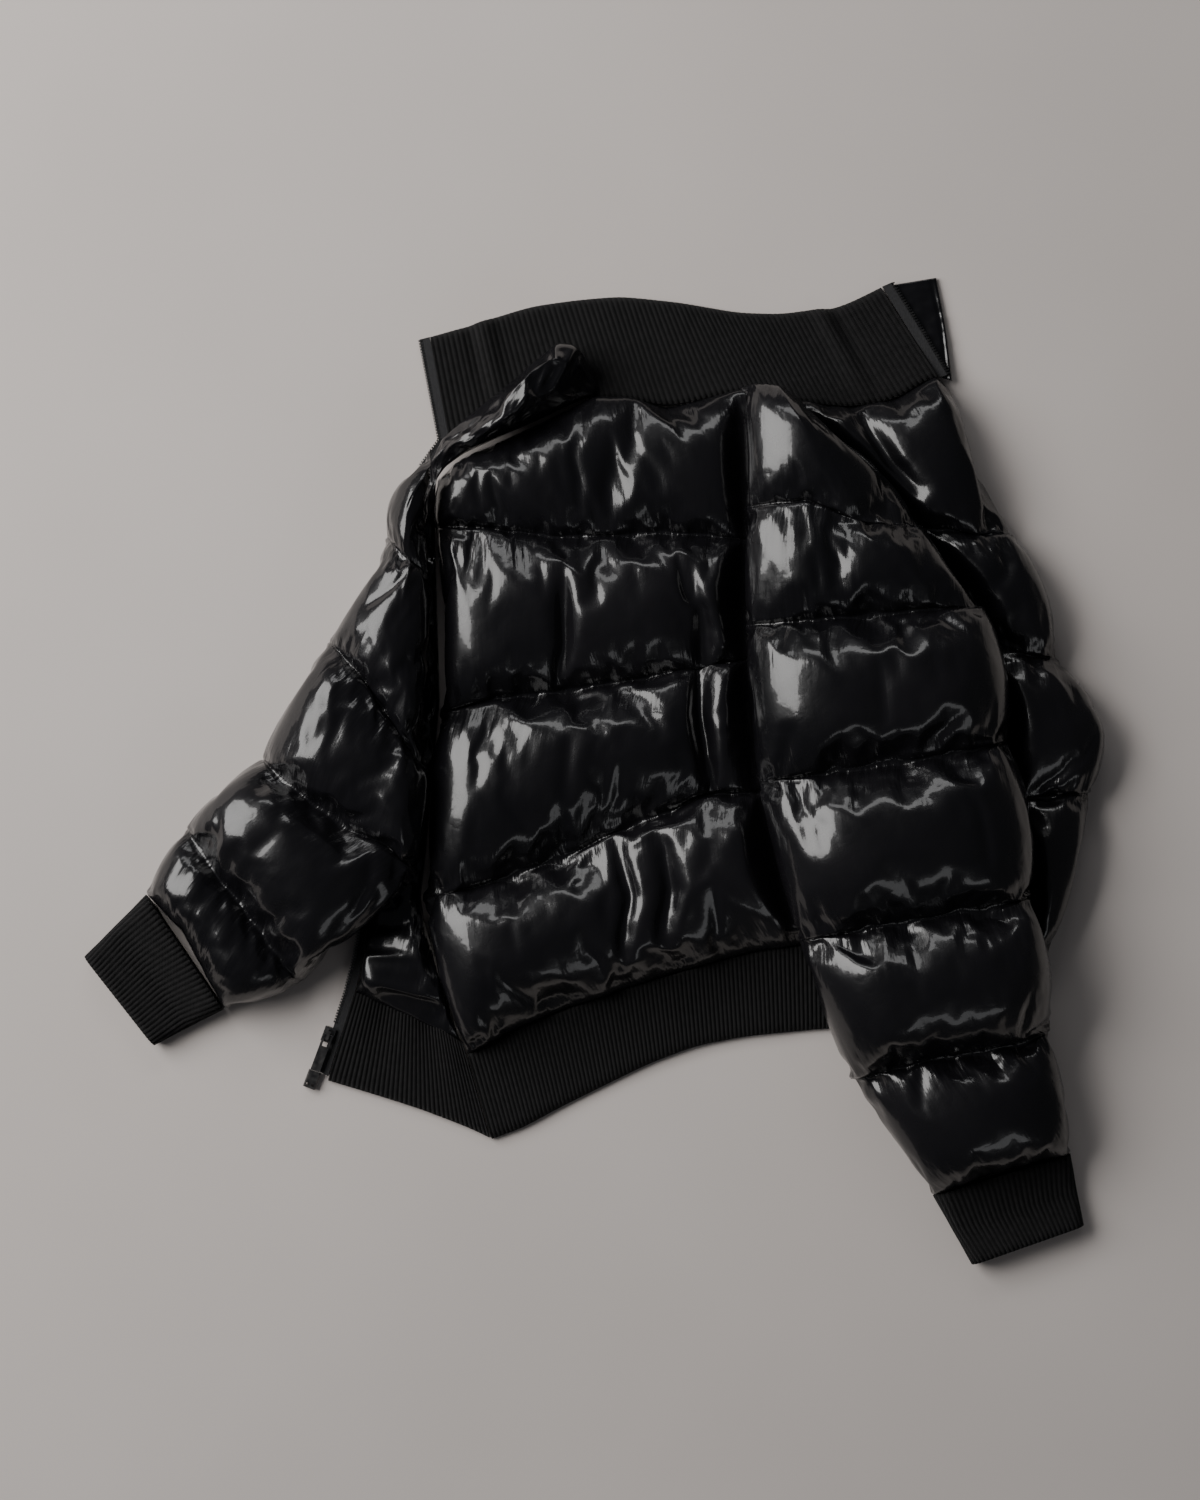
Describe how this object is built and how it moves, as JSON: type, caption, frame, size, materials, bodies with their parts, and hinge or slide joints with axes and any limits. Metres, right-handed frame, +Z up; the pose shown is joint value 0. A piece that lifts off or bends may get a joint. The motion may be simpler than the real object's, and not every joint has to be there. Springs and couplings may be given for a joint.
{
  "type": "puffer jacket",
  "caption": "Short black quilted puffer jacket laid open on its lining with the back uppermost, one sleeve splayed and one folded over, with ribbed collar, hem and cuffs and an open zip.",
  "frame": {"origin": "middle of the laid jacket's plan, on the surface that it lies on", "axes": "+X to the side of the folded sleeve, +Y towards the collar, +Z up from the surface"},
  "size_m": [0.7978, 0.776, 0.1017],
  "materials": {
    "shell": "glossy coated nylon, quilted and padded",
    "rib_knit": "matte rib knit",
    "zip_tape": "matte woven tape",
    "zip_metal": "gunmetal plating"
  },
  "bodies": {
    "jacket": {"back": "shell", "front_right": "shell", "front_left": "shell", "sleeve_right": "shell", "sleeve_left": "shell", "wind_flap": "shell", "collar": "rib_knit", "hem_back": "rib_knit", "hem_front_left": "rib_knit", "hem_front_right": "rib_knit", "cuff_left": "rib_knit", "cuff_right": "rib_knit", "zip_tape_left": "zip_tape", "zip_tape_right": "zip_tape", "zip_slider": "zip_metal", "zip_box": "zip_metal"},
    "pull": {"zip_pull": "zip_metal"}
  },
  "joints": [
    {"name": "pull_hinge", "type": "hinge", "parent": "jacket", "child": "pull", "pos_m": [-0.2075, -0.208, 0.0076], "axis": [-0.9372, 0.3488, 0], "range_deg": [0, 150]}
  ]
}
